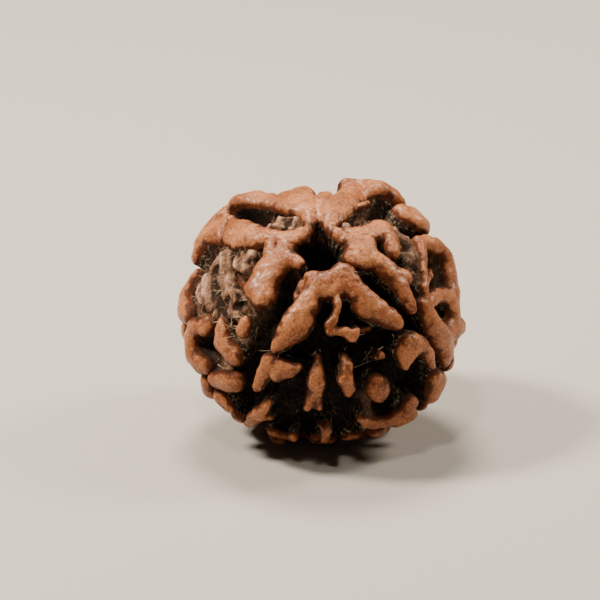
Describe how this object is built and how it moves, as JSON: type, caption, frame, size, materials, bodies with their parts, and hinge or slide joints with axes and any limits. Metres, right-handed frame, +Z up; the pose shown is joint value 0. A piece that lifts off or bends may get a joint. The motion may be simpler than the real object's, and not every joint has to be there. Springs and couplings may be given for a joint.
{
  "type": "rudraksha seed",
  "caption": "Dried rudraksha seed: a hard, nearly round woody stone with thick rounded ridges, deep recesses, seams and a star-mouthed canal along its axis.",
  "frame": {"origin": "middle of the box round the seed, at the height of the three low knobs it rests on", "axes": "+Z up, +X to the right and -Y towards the viewer. The canal leans 33 degrees from +Z towards -Y"},
  "size_m": [0.0222, 0.0208, 0.019],
  "materials": {
    "shell": "polished woody ridges over dark, rough recesses"
  },
  "bodies": {
    "root": {"stone": "shell"}
  },
  "joints": []
}
